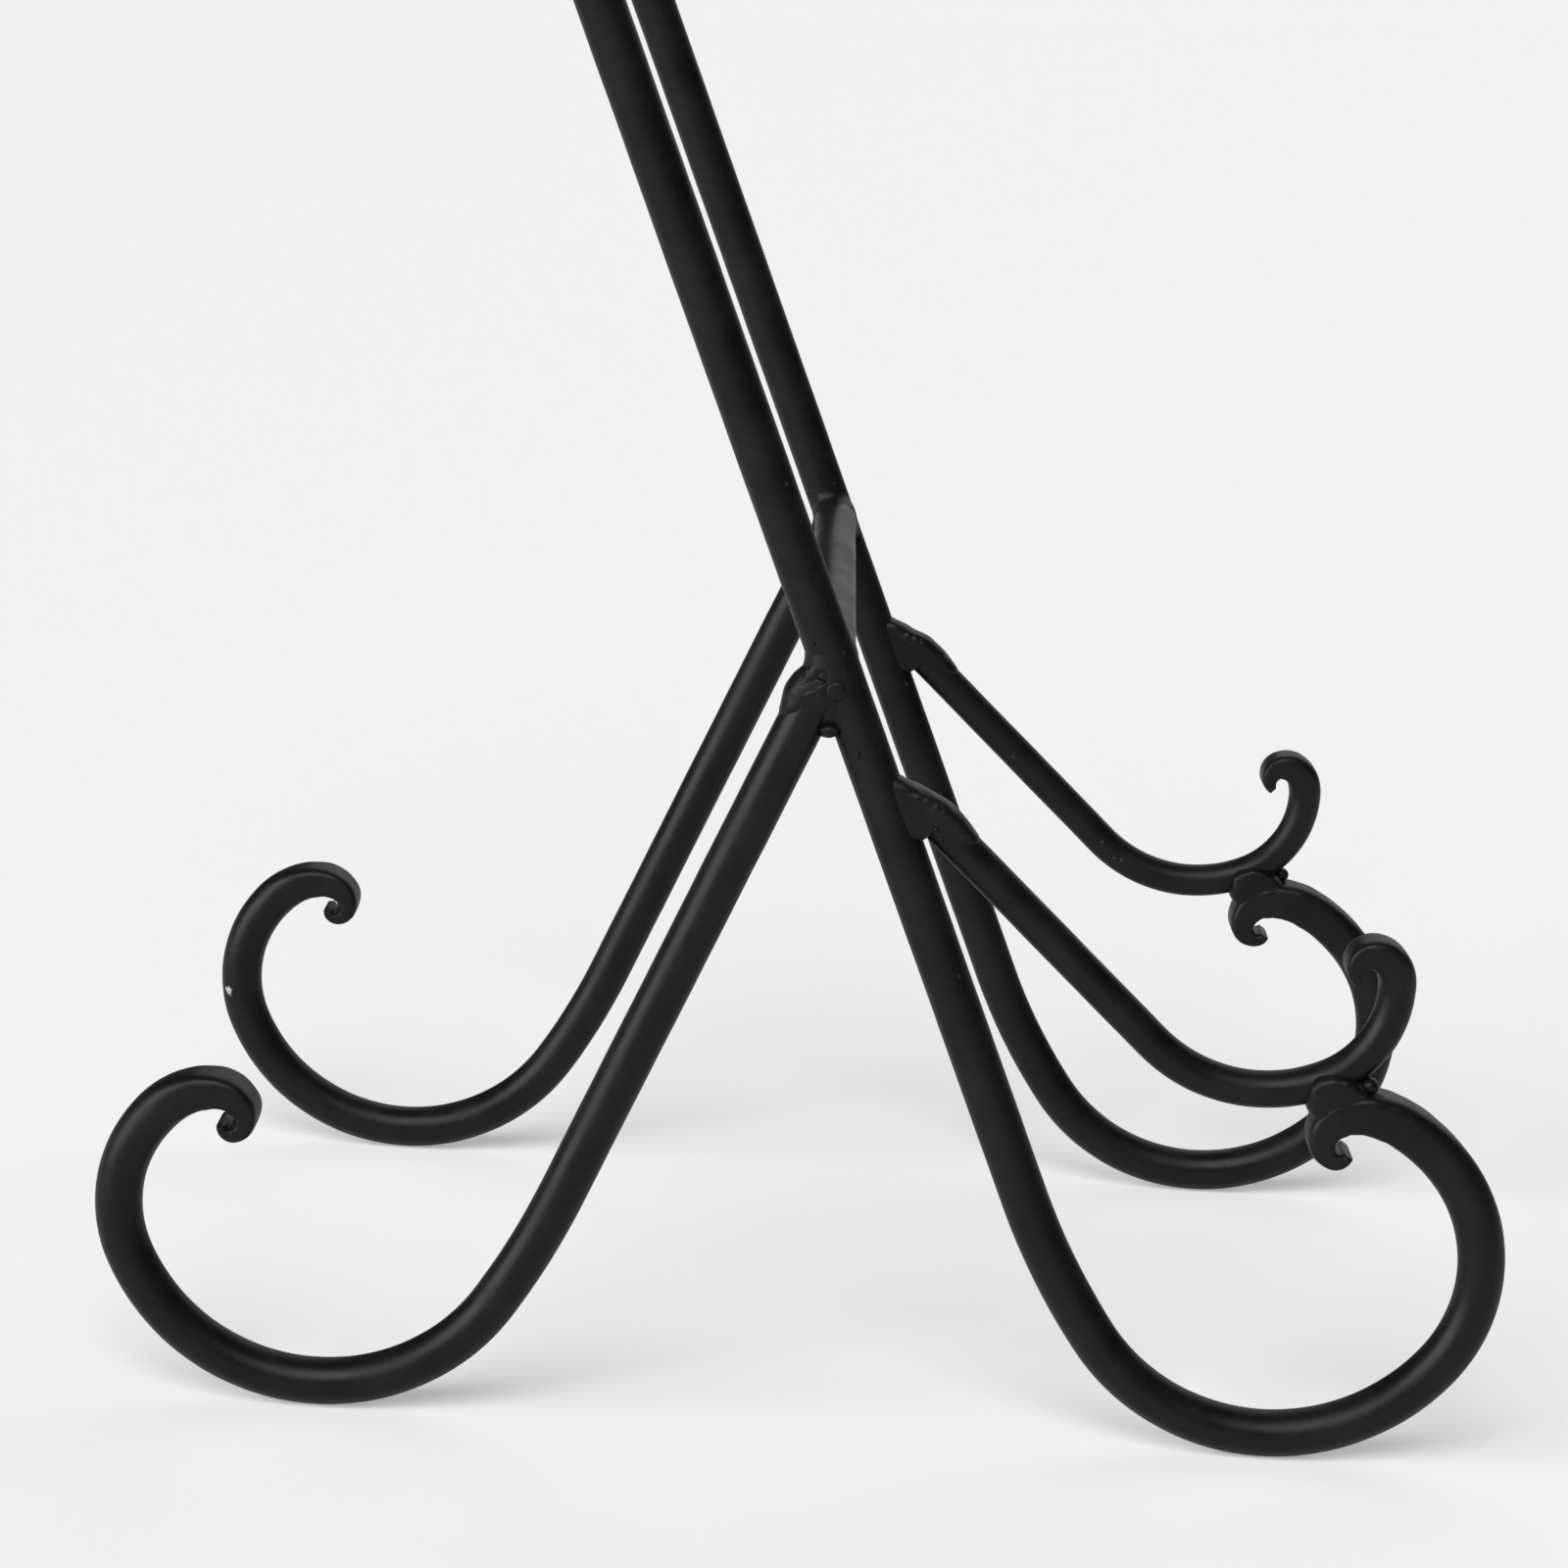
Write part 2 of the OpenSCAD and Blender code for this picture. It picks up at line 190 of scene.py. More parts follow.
def turned_round(line):
    """The same centre line walked from its other end."""
    back = {k: a[::-1].copy() for k, a in line.items()}
    back["h"] = back["h"] + math.pi
    back["s"] = line["s"][-1] - back["s"]
    return back


def end_to_end(first, second):
    """Two centre lines that meet, as one."""
    second = dict(second, s=second["s"] + first["s"][-1])
    return {k: np.concatenate([first[k], second[k][1:]]) for k in first}


def with_rims(line, rim):
    """Both ends of a bar with a small rounded rim: quarter circles of radius rim, then flat."""
    angle = np.radians([22.5, 45, 67.5, 90, 90])
    out = rim * np.sin(angle)
    cut = 2 * rim * (1 - np.cos(angle))
    inner = np.array([1, 1, 1, 1, 0.5])

    def end(i, way):
        c, s = math.cos(line["h"][i]) * way, math.sin(line["h"][i]) * way
        ring = {k: np.full(5, line[k][i]) for k in line}
        ring["u"] = line["u"][i] - c * (rim - out)
        ring["v"] = line["v"][i] - s * (rim - out)
        ring["s"] = line["s"][i] + way * out
        ring["thick"] = (line["thick"][i] - cut) * inner
        ring["wide"] = (line["wide"][i] - cut) * inner
        return ring

    first = {k: a[::-1] for k, a in end(0, -1).items()}
    last = end(-1, 1)
    return {k: np.concatenate([first[k], line[k], last[k]]) for k in line}


def section_rings(line, x, sides, seed, uneven, hammered):
    """Carry a section along a centre line.

    At angle a the section's radius is (|cos a|^q + |sin a|^q)^(-1/q), stretched to the bar's
    thickness in the drawing and to its width across it. A sum of sine waves along and round
    the bar makes it uneven, and short waves on the forged end stand for hammer marks."""
    a = np.linspace(0, 2 * np.pi, sides, endpoint=False)[None, :]
    s = line["s"][:, None]
    q = line["q"][:, None]
    c, sn = np.cos(a), np.sin(a)
    rho = (np.abs(c) ** q + np.abs(sn) ** q) ** (-1 / q)
    rng = np.random.default_rng(seed)
    wave = np.zeros((len(line["s"]), sides))
    for length, share in ((83, 0.3), (37, 0.3), (17, 0.25), (9, 0.15)):
        around = rng.integers(0, 4)
        wave += share * np.sin(2 * np.pi * s / (length * MM) + around * a
                               + rng.uniform(0, 6.28))
    blows = np.zeros_like(wave)
    for length, share in ((7.3, 0.4), (4.9, 0.35), (3.1, 0.25)):
        blows += share * np.sin(2 * np.pi * s / (length * MM) + rng.uniform(0, 6.28)
                                + 2 * np.sin(a + rng.uniform(0, 6.28)))
    change = uneven * (wave - 1.2) + hammered * line["forged"][:, None] * (blows - 1)
    half = np.minimum(line["thick"], line["wide"])[:, None] / 2
    change = np.maximum(change, -0.3 * half)
    off = rho * c * (line["thick"][:, None] / 2 + change)
    side = rho * sn * (line["wide"][:, None] / 2 + change)
    u = line["u"][:, None] - np.sin(line["h"])[:, None] * off
    v = line["v"][:, None] + np.cos(line["h"])[:, None] * off
    return stand(u, v, x + side)


# ---------------------------------------------------------------- meshes


def tube(rings):
    """Points and faces of a closed tube: rings one after another, with a pole at each end."""
    n, k = rings.shape[:2]
    i = np.arange(n - 1)[:, None] * k
    j = np.arange(k)[None, :]
    nxt = (j + 1) % k
    quads = np.stack([i + j, i + nxt, i + k + nxt, i + k + j], -1).reshape(-1, 4)
    co = np.concatenate([rings.reshape(-1, 3), rings[0].mean(0)[None], rings[-1].mean(0)[None]])
    j, nxt = j[0], nxt[0]
    last = (n - 1) * k
    tris = np.concatenate([np.stack([np.full(k, n * k), nxt, j], -1),
                           np.stack([np.full(k, n * k + 1), last + j, last + nxt], -1)])
    return outward(co, quads, tris)


def ring_shell(grid):
    """Points and faces of a closed ring: a closed profile carried round a closed path."""
    n, k = grid.shape[:2]
    i = np.arange(n)[:, None]
    j = np.arange(k)[None, :]
    i2, j2 = (i + 1) % n, (j + 1) % k
    quads = np.stack([i * k + j, i * k + j2, i2 * k + j2, i2 * k + j], -1).reshape(-1, 4)
    return outward(grid.reshape(-1, 3), quads, np.zeros((0, 3), int))


def outward(co, quads, tris):
    """The faces turned to point out: six times the enclosed volume is the sum of each
    triangle's triple product, and a negative sum means that they all point in."""
    every = np.concatenate([quads[:, [0, 1, 2]], quads[:, [0, 2, 3]], tris])
    a, b, c = (co[every[:, i]] for i in range(3))
    if np.einsum("ij,ij->i", a, np.cross(b, c)).sum() < 0:
        quads, tris = quads[:, ::-1], tris[:, ::-1]
    return co, quads, tris


def together(shells):
    """Several closed shells as one set of points and faces."""
    start = np.cumsum([0] + [len(s[0]) for s in shells])
    return (np.concatenate([s[0] for s in shells]),
            np.concatenate([s[1] + b for s, b in zip(shells, start)]),
            np.concatenate([s[2] + b for s, b in zip(shells, start)]))


def lumps(co, seed, size, height):
    """Smooth lumps: each point moves by sums of sines of its place, in each direction."""
    rng = np.random.default_rng(seed)
    moved = co.copy()
    for share, scale in ((0.6, 1.0), (0.3, 0.55), (0.15, 0.3)):
        way = rng.normal(size=(3, 3))
        way /= np.linalg.norm(way, axis=1)[:, None]
        phase = rng.uniform(0, 6.28, 3)
        moved = moved + share * height * np.sin(2 * np.pi * (co @ way.T) / (size * scale) + phase)
    return moved


def rounded_outline(points, count, soften):
    """A closed outline through corner points, its corners rounded by averaging along it.

    The corners are joined by straight lines and resampled evenly, then every wave round the
    outline is damped by exp(-(soften * wave)^2 / 2)."""
    pts = np.asarray(points, float)
    pts = np.concatenate([pts, pts[:1]])
    length = np.concatenate([[0], np.cumsum(np.linalg.norm(np.diff(pts, axis=0), axis=1))])
    at = np.linspace(0, length[-1], count, endpoint=False)
    z = np.interp(at, length, pts[:, 0]) + 1j * np.interp(at, length, pts[:, 1])
    wave = np.fft.fftfreq(count, 1 / count)
    return np.fft.ifft(np.fft.fft(z) * np.exp(-((soften * wave) ** 2) / 2))


def pillow(outline, x, half, seed, rough=0.35 * MM, soften=0.16, plump=0.62, count=72, rows=30):
    """A lump of weld metal with the given outline in the frame's drawing, in mm.

    From pole to pole at latitude b, the outline shrinks to its middle by cos(b)^plump and the
    surface stands out from x by half * |sin b|^FACE_POWER, to the side that b is on."""
    z = rounded_outline(np.array(outline) * MM, count, soften)
    mid = z.mean()
    b = np.linspace(-np.pi / 2, np.pi / 2, rows)[1:-1]
    flat = mid + (z - mid)[None, :] * (np.cos(b) ** plump)[:, None]
    out = half * np.sign(np.sin(b)) * np.abs(np.sin(b)) ** FACE_POWER
    rings = stand(flat.real, flat.imag, x + out[:, None])
    rings = lumps(rings.reshape(-1, 3), seed, LUMP_SIZE, rough).reshape(rings.shape)
    return tube(rings)


def round_mark(mark):
    """The outline of a round mark, as the corners of a polygon that almost closes."""
    u, v, wide, tall, corners = mark
    return [(u + wide * math.cos(t), v + tall * math.sin(t))
            for t in np.linspace(0, ALMOST_ROUND, corners + 1)[:-1]]


def rope(points, radius, seed, ripple=0.03, pitch=1.7 * MM):
    """A run of weld metal laid along a path through a few (u, v, x) points.

    The path is the polynomial of the share of its length that passes through the points. At
    share t the run's radius is radius * (1 - |2t - 1|^3)^(1/2) * (1 + ripple * sin(2 pi s /
    pitch)), s being the length walked, so both ends are round and ripples cross it."""
    pts = np.asarray(points, float)
    walked = np.concatenate([[0], np.cumsum(np.linalg.norm(np.diff(pts, axis=0), axis=1))])
    t = np.linspace(0.004, 0.996, 56)
    fit = np.polyfit(walked / walked[-1], pts, len(pts) - 1)
    path = sum(c[None, :] * t[:, None] ** (len(pts) - 1 - i) for i, c in enumerate(fit))
    ahead = np.gradient(path, axis=0)
    ahead /= np.linalg.norm(ahead, axis=1)[:, None]
    side = np.cross(ahead, (0.0, 0.0, 1.0))
    side /= np.linalg.norm(side, axis=1)[:, None]
    up = np.cross(side, ahead)
    r = radius * np.sqrt(1 - np.abs(2 * t - 1) ** 3)
    r = (r * (1 + ripple * np.sin(2 * np.pi * t * walked[-1] / pitch + seed)))[:, None, None]
    a = np.linspace(0, 2 * np.pi, 20, endpoint=False)[None, :, None]
    rings = path[:, None] + r * (np.cos(a) * side[:, None] + np.sin(a) * up[:, None])
    rings = stand(rings[..., 0], rings[..., 1], rings[..., 2])
    shape = rings.shape
    rings = lumps(rings.reshape(-1, 3), seed, RUN_LUMP_SIZE, RUN_LUMP_HEIGHT)
    return tube(rings.reshape(shape))


def on_both_faces(runs, x, seed):
    """Runs of weld metal on both faces of a frame, from their paths and radii in mm."""
    return [rope(np.array(path) * MM * (1, 1, face) + (0, 0, x), radius * MM, seed + k)
            for face in (1, -1) for k, (path, radius) in enumerate(runs)]


def beads(places, radii, rows=9, sides=12):
    """Small round beads, each a sphere squashed a little, worked out for all at once."""
    b = np.linspace(-np.pi / 2, np.pi / 2, rows)[1:-1]
    a = np.linspace(0, 2 * np.pi, sides, endpoint=False)
    unit = np.stack([np.cos(b)[:, None] * np.cos(a), np.cos(b)[:, None] * np.sin(a),
                     np.sin(b)[:, None] * np.ones(sides)], -1)
    return together([tube(unit * r + p) for p, r in zip(np.asarray(places), radii)])


def saddle_fillet(way, across, radius, reach_bar, reach_up, bulge, origin, x0, seed, turns=96):
    """A bead round the place where a bar runs into the upright.

    way is the bar's direction and across the normal at angle 0, both as (u, v, x). At angle a
    the bar's surface meets the upright's where (p.w)^2 + (p.x)^2 = r^2, so the distance along
    the bar is (r |cos a| - r cos a (across.w)) / (way.w), with w square to the upright. The
    profile is a quadratic curve from a ring on the bar, by the meeting line pushed out by
    bulge, to a ring on the upright, and returns through the inside of the metal."""
    a = np.linspace(0, 2 * np.pi, turns, endpoint=False)
    ca, sa = np.cos(a), np.sin(a)
    way, across = np.asarray(way, float), np.asarray(across, float)
    other = np.cross(way, across)
    d = np.array([DOWN[0], DOWN[1], 0.0])
    w = way - d * (way @ d)
    w /= np.linalg.norm(w)
    third = np.cross(d, w)
    normal = ca[:, None] * across + sa[:, None] * other
    aside = radius * (normal @ third)
    depth = np.sqrt(np.maximum(radius ** 2 - aside ** 2, (0.12 * radius) ** 2))
    along = (depth - radius * (normal @ w)) / (way @ w)
    meet = along[:, None] * way + radius * normal

    def on_bar(more, r):
        return (along + more)[:, None] * way + r * normal

    def on_up(more, r):
        tall = meet @ d
        turn = np.arctan2(meet @ third, meet @ w)
        flat = np.stack([normal @ d, normal @ third], -1)
        flat /= np.maximum(np.linalg.norm(flat, axis=1), 0.35)[:, None]
        tall = tall + more * flat[:, 0]
        turn = turn + more * flat[:, 1] / radius
        return (tall[:, None] * d + r * (np.cos(turn)[:, None] * w
                                         + np.sin(turn)[:, None] * third))

    rng = np.random.default_rng(seed)
    vary = 1 + 0.16 * np.sin(3 * a + rng.uniform(0, 6)) + 0.12 * np.sin(7 * a + rng.uniform(0, 6))
    m_bar, m_up = reach_bar(ca) * vary, reach_up(ca) * vary[::-1]
    first, last = on_bar(m_bar, radius - FILLET_SINK), on_up(m_up, radius - FILLET_SINK)
    out = (normal + (on_up(0, 1.0) - on_up(0, 0.0))) / 2
    control = meet + (bulge(ca) * vary)[:, None] * out
    t = np.linspace(0, 1, 12)[None, :, None]
    curve = ((1 - t) ** 2 * first[:, None] + 2 * t * (1 - t) * control[:, None]
             + t ** 2 * last[:, None])
    inner = np.stack([on_up(m_up, 0.8 * radius), meet * 0.75,
                      on_bar(m_bar, 0.8 * radius)], 1)
    grid = np.concatenate([curve, inner], 1) + np.asarray(origin)
    return ring_shell(stand(grid[..., 0], grid[..., 1], x0 + grid[..., 2]))


# ---------------------------------------------------------------- rust and wear

# Where rust breaks through: u, v, side, share of the way across, radius, strength.
RUST_SPOTS = (
    (-0.8, 124.1, -1, 1.0, 1.5, 1.0), (-0.8, 124.1, 1, -1.0, 1.5, 0.9),
    (16.2, 105.2, -1, 0.8, 1.2, 0.7), (95.0, 64.6, -1, 0.6, 1.7, 1.0),
    (95.0, 64.6, 1, -0.6, 1.7, 0.8), (-1.6, 137.4, 1, 1.0, 2.2, 0.8),
    (3.0, 133.6, 1, 1.2, 1.8, 0.6), (55.0, 264.0, 1, -1.2, 2.0, 0.4),
)
# Where the paint is knocked off: u, v, side, share of the way across, radius, strength.
CHIP_SPOTS = (
    (98.6, 84.5, -1, 0.97, 0.9, 1.25), (98.5, 83.3, -1, 0.97, 0.85, 1.25),
    (98.2, 82.2, -1, 0.97, 0.8, 1.25),
    (-118.0, 31.6, 1, 0.76, 1.2, 1.0), (-2.6, 139.2, 1, 1.0, 1.0, 0.8),
    (-111.0, 36.0, -1, 0.9, 9.0, 0.30), (-104.0, 20.0, -1, 0.9, 9.0, 0.26),
    (112.0, 40.0, -1, 0.9, 6.0, 0.22),
)
# Spatter by the joints: u, v, share of the way across, radius. Stray beads are strewn over the
# inner face of each upright.
STRAY_BEADS = 7
SPATTER = (
    (4.8, 119.0, 1.0, 0.46), (14.8, 99.7, 0.80, 0.50), (18.5, 106.9, 0.80, 0.42),
    (19.5, 105.2, 0.74, 0.36), (9.6, 110.6, 0.98, 0.30), (-3.4, 136.9, 0.90, 0.28),
)


def near_spots(co, spots, bar_d):
    """How near each point is to any spot: the largest strength * exp(-(distance/radius)^2)."""
    table = np.array(spots)
    at = stand(table[:, 0] * MM, table[:, 1] * MM,
               table[:, 2] * FRAME_X - table[:, 3] * bar_d / 2)
    gap = np.linalg.norm(co[:, None] - at[None], axis=2)
    return (table[:, 5] * np.exp(-((gap / (table[:, 4] * MM)) ** 2))).max(1)


# ---------------------------------------------------------------- finishes


def add(tree, kind, values=None, **settings):
    """A node with its settings and its unlinked inputs filled in, or linked from a socket."""
    made = tree.nodes.new(kind)
    for key, value in settings.items():
        setattr(made, key, value)
    for key, value in (values or {}).items():
        if isinstance(value, bpy.types.NodeSocket):
            tree.links.new(value, made.inputs[key])
        else:
            made.inputs[key].default_value = value
    return made


def maths(tree, operation, a, b=0.0, clamp=False):
    """One arithmetic node, as its output."""
    return add(tree, "ShaderNodeMath", {0: a, 1: b}, operation=operation,
               use_clamp=clamp).outputs[0]


def ramp(tree, value, low, high, to_low=0.0, to_high=1.0, smooth=True):
    """A value carried from one range to another, eased at both ends, as its output."""
    return add(tree, "ShaderNodeMapRange",
               {0: value, 1: low, 2: high, 3: to_low, 4: to_high},
               interpolation_type="SMOOTHSTEP" if smooth else "LINEAR").outputs[0]


def noise(tree, vector, scale, detail=2.0, roughness=0.5):
    """Soft noise, as its output."""
    return add(tree, "ShaderNodeTexNoise",
               {"Vector": vector, "Scale": scale, "Detail": detail,
                "Roughness": roughness}).outputs["Fac"]


def blend(tree, share, a, b):
    """One colour laid over another, as its output."""
    made = add(tree, "ShaderNodeMix", data_type="RGBA")
    for socket, value in zip((made.inputs[0], made.inputs[6], made.inputs[7]), (share, a, b)):
        if isinstance(value, bpy.types.NodeSocket):
            tree.links.new(value, socket)
        else:
            socket.default_value = value
    return made.outputs[2]


def group(name, inputs, outputs):
    """An empty shader node group with named sockets, and its two end nodes."""
    tree = bpy.data.node_groups.new(name, "ShaderNodeTree")
    for label, kind, default in inputs:
        socket = tree.interface.new_socket(label, in_out="INPUT", socket_type=kind)
        if default is not None:
            socket.default_value = default
    for label, kind in outputs:
        tree.interface.new_socket(label, in_out="OUTPUT", socket_type=kind)
    return tree, tree.nodes.new("NodeGroupInput"), tree.nodes.new("NodeGroupOutput")


FLOAT, VECTOR, COLOR = "NodeSocketFloat", "NodeSocketVector", "NodeSocketColor"


def paint_film():
    """The skin of brushed and sprayed paint: slow drifts of tone, orange peel and fine grain."""
    tree, g, out = group("paint_film",
                         [("Vector", VECTOR, None), ("Peel", FLOAT, 1300.0),
                          ("Drift", FLOAT, 90.0), ("Low gloss", FLOAT, 0.5),
                          ("High gloss", FLOAT, 0.34)],
                         [("Tone", FLOAT), ("Roughness", FLOAT), ("Height", FLOAT)])
    drift = noise(tree, g.outputs["Vector"], g.outputs["Drift"], 4.0, 0.6)
    peel = noise(tree, g.outputs["Vector"], g.outputs["Peel"], 2.0, 0.55)
    grain = noise(tree, g.outputs["Vector"], maths(tree, "MULTIPLY", g.outputs["Peel"], 3.1), 2.0)
    tone = ramp(tree, maths(tree, "ADD", maths(tree, "MULTIPLY", drift, 0.7),
                            maths(tree, "MULTIPLY", peel, 0.3)), 0.35, 0.68)
    rough = add(tree, "ShaderNodeMapRange", {0: tone, 1: 0.0, 2: 1.0, 3: g.outputs["High gloss"],
                                             4: g.outputs["Low gloss"]}).outputs[0]
    height = maths(tree, "ADD", maths(tree, "MULTIPLY", peel, 0.75),
                   maths(tree, "MULTIPLY", grain, 0.25))
    tree.links.new(tone, out.inputs["Tone"])
    tree.links.new(rough, out.inputs["Roughness"])
    tree.links.new(height, out.inputs["Height"])
    return tree


def dust_specks():
    """Single grains of dust and pinholes: a few cells of a scatter, each with a small dot."""
    tree, g, out = group("dust_specks",
                         [("Vector", VECTOR, None), ("Scale", FLOAT, 480.0),
                          ("Density", FLOAT, 0.1)], [("Mask", FLOAT)])
    cells = add(tree, "ShaderNodeTexVoronoi",
                {"Vector": g.outputs["Vector"], "Scale": g.outputs["Scale"], "Randomness": 1.0})
    pick = add(tree, "ShaderNodeSeparateColor", {0: cells.outputs["Color"]}).outputs[0]
    chosen = maths(tree, "LESS_THAN", pick, g.outputs["Density"])
    dot = ramp(tree, cells.outputs["Distance"], 0.2, 0.08)
    tree.links.new(maths(tree, "MULTIPLY", chosen, dot), out.inputs["Mask"])
    return tree


def knocked_paint():
    """Paint chipped where the metal is worn: ragged noise cut off at a level set by wear."""
    tree, g, out = group("knocked_paint",
                         [("Vector", VECTOR, None), ("Wear", FLOAT, 0.0),
                          ("Scale", FLOAT, 700.0)], [("Mask", FLOAT)])
    ragged = noise(tree, g.outputs["Vector"], g.outputs["Scale"], 5.0, 0.62)
    level = maths(tree, "ADD", ragged, maths(tree, "MULTIPLY", g.outputs["Wear"], 0.42))
    tree.links.new(ramp(tree, level, 0.80, 0.84), out.inputs["Mask"])
    return tree


def rust_bloom():
    """Rust through thin paint: a speckled mask that fades outwards, with its own colour."""
    tree, g, out = group("rust_bloom",
                         [("Vector", VECTOR, None), ("Amount", FLOAT, 0.0)],
                         [("Mask", FLOAT), ("Color", COLOR), ("Height", FLOAT)])
    patch = noise(tree, g.outputs["Vector"], 620.0, 5.0, 0.65)
    grit = noise(tree, g.outputs["Vector"], 2600.0, 3.0, 0.6)
    level = maths(tree, "ADD", patch, maths(tree, "MULTIPLY", g.outputs["Amount"], 0.62))
    mask = ramp(tree, level, 0.78, 1.02)
    colour = blend(tree, ramp(tree, grit, 0.35, 0.65), (0.016, 0.007, 0.005, 1),
                   (0.058, 0.024, 0.013, 1))
    tree.links.new(mask, out.inputs["Mask"])
    tree.links.new(colour, out.inputs["Color"])
    tree.links.new(maths(tree, "MULTIPLY", grit, mask), out.inputs["Height"])
    return tree


GROUPS = {"paint_film": paint_film, "dust_specks": dust_specks,
          "knocked_paint": knocked_paint, "rust_bloom": rust_bloom}


def placed(tree, name, values):
    """One of the shared effects, placed in a material with its own values."""
    shared = bpy.data.node_groups.get(name) or GROUPS[name]()
    made = tree.nodes.new("ShaderNodeGroup")
    made.node_tree = shared
    for key, value in values.items():
        if isinstance(value, bpy.types.NodeSocket):
            tree.links.new(value, made.inputs[key])
        else:
            made.inputs[key].default_value = value
    return made


def black_paint(name, peel, bump, lumpy, dust, low_gloss, high_gloss):
    """Black paint over iron, with tone, peel, dust, chips and rust laid on in turn."""
    finish = bpy.context.scene.easel_finish
    made = bpy.data.materials.new(name)
    made.use_nodes = True
    tree = made.node_tree
    shader = tree.nodes["Principled BSDF"]
    where = tree.nodes.new("ShaderNodeTexCoord").outputs["Object"]
    wear = add(tree, "ShaderNodeAttribute", attribute_name="wear").outputs["Fac"]
    rusty = add(tree, "ShaderNodeAttribute", attribute_name="rust").outputs["Fac"]
    film = placed(tree, "paint_film", {"Vector": where, "Peel": peel, "Low gloss": low_gloss,
                                       "High gloss": high_gloss})
    specks = placed(tree, "dust_specks", {"Vector": where, "Density": dust})
    chips = placed(tree, "knocked_paint", {"Vector": where, "Wear": wear})
    rust = placed(tree, "rust_bloom", {"Vector": where, "Amount": rusty})
    colour = blend(tree, film.outputs["Tone"], (*finish.paint_dark, 1), (*finish.paint_light, 1))
    colour = blend(tree, specks.outputs["Mask"], colour, (*finish.dust, 1))
    colour = blend(tree, chips.outputs["Mask"], colour, (*finish.bare, 1))
    colour = blend(tree, rust.outputs["Mask"], colour, rust.outputs["Color"])
    tree.links.new(colour, shader.inputs["Base Color"])
    dull = maths(tree, "MAXIMUM", maths(tree, "MULTIPLY", rust.outputs["Mask"], 0.42),
                 maths(tree, "MULTIPLY", specks.outputs["Mask"], 0.4))
    tree.links.new(maths(tree, "ADD", film.outputs["Roughness"], dull, True),
                   shader.inputs["Roughness"])
    height = maths(tree, "SUBTRACT", film.outputs["Height"],
                   maths(tree, "MULTIPLY", chips.outputs["Mask"], 0.8))
    height = maths(tree, "ADD", height, maths(tree, "MULTIPLY", rust.outputs["Height"], 0.9))
    if lumpy:
        height = maths(tree, "ADD", height,
                       maths(tree, "MULTIPLY", noise(tree, where, 520.0, 3.0), lumpy))
    bumped = add(tree, "ShaderNodeBump", {"Height": height, "Strength": bump,
                                          "Distance": 0.25 * MM})
    tree.links.new(bumped.outputs[0], shader.inputs["Normal"])
    shader.inputs["Specular IOR Level"].default_value = finish.gloss
    return made


def finish_of(name):
    """The paint for a bar or a weld, made the first time that it is asked for."""
    if name not in bpy.data.materials:
        if name == "bar_black":
            black_paint(name, 1250.0, 0.09, 0.0, 0.012, 0.46, 0.34)
        else:
            black_paint(name, 1500.0, 0.22, 1.0, 0.012, 0.50, 0.36)
    return bpy.data.materials[name]


def piece(name, shells, material, slot, *nodes):
    """Make one mesh piece from closed shells, paint it and hang it on the frame."""
    co, quads, tris = together(shells)
    mesh = bpy.data.meshes.new(name)
    mesh.from_pydata(co.tolist(), [], quads.tolist() + tris.tolist())
    mesh.polygons.foreach_set("use_smooth", np.ones(len(mesh.polygons), bool))
    bar_d = bpy.context.scene.easel_sizes.bar_d
    for label, spots in (("rust", RUST_SPOTS), ("wear", CHIP_SPOTS)):
        layer = mesh.attributes.new(label, "FLOAT", "POINT")
        layer.data.foreach_set("value", near_spots(co, spots, bar_d).astype(np.float32))
    mesh.update()
    if mesh.validate():
        raise RuntimeError(f"{name} had faces that were not sound")
    mesh.materials.append(finish_of(material))
    made = bpy.data.objects.new(name, mesh)
    bpy.context.scene.collection.objects.link(made)
    if nodes:
        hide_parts(*nodes)
    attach(made, "root")
    return made


# ---------------------------------------------------------------- what a user would change


class EaselSizes(bpy.types.PropertyGroup):
    """Sizes of the bars and the beads."""

    bar_d: FloatProperty(name="Main bar", description="Diameter of the main bar",
                         default=BAR_D, min=0.004, max=0.012, unit="LENGTH")
    hook_d: FloatProperty(name="Hook bar", description="Diameter of the shelf hook bar",
                          default=HOOK_D, min=0.003, max=0.010, unit="LENGTH")
    uneven: FloatProperty(name="Unevenness", description="How far a bar strays from true",
                          default=0.035 * MM, min=0, max=0.001, unit="LENGTH")
    hammered: FloatProperty(name="Hammer marks", description="Depth of the marks on forged ends",
                            default=0.09 * MM, min=0, max=0.001, unit="LENGTH")
    sides: IntProperty(name="Sides", description="Points round a bar", default=56,
                       min=12, max=96)
    bead: FloatProperty(name="Bead", description="How far a bead reaches along a bar",
                        default=2.1 * MM, min=0.0005, max=0.006, unit="LENGTH")


class EaselFinish(bpy.types.PropertyGroup):
    """Colours and gloss of the paint."""

    paint_dark: FloatVectorProperty(name="Paint, dark", description="The darker tone of the paint",
                                    default=(0.0052, 0.0052, 0.0062), subtype="COLOR", size=3)
    paint_light: FloatVectorProperty(name="Paint, light",
                                     description="The lighter tone of the paint",
                                     default=(0.0100, 0.0100, 0.0115), subtype="COLOR", size=3)
    dust: FloatVectorProperty(name="Dust", description="Colour of the dust specks",
                              default=(0.055, 0.053, 0.050), subtype="COLOR", size=3)
    bare: FloatVectorProperty(name="Chipped", description="Colour where the paint is knocked off",
                              default=(0.52, 0.51, 0.49), subtype="COLOR", size=3)
    gloss: FloatProperty(name="Gloss", description="Strength of the paint's reflection",
                         default=0.27, min=0, max=1, subtype="FACTOR")


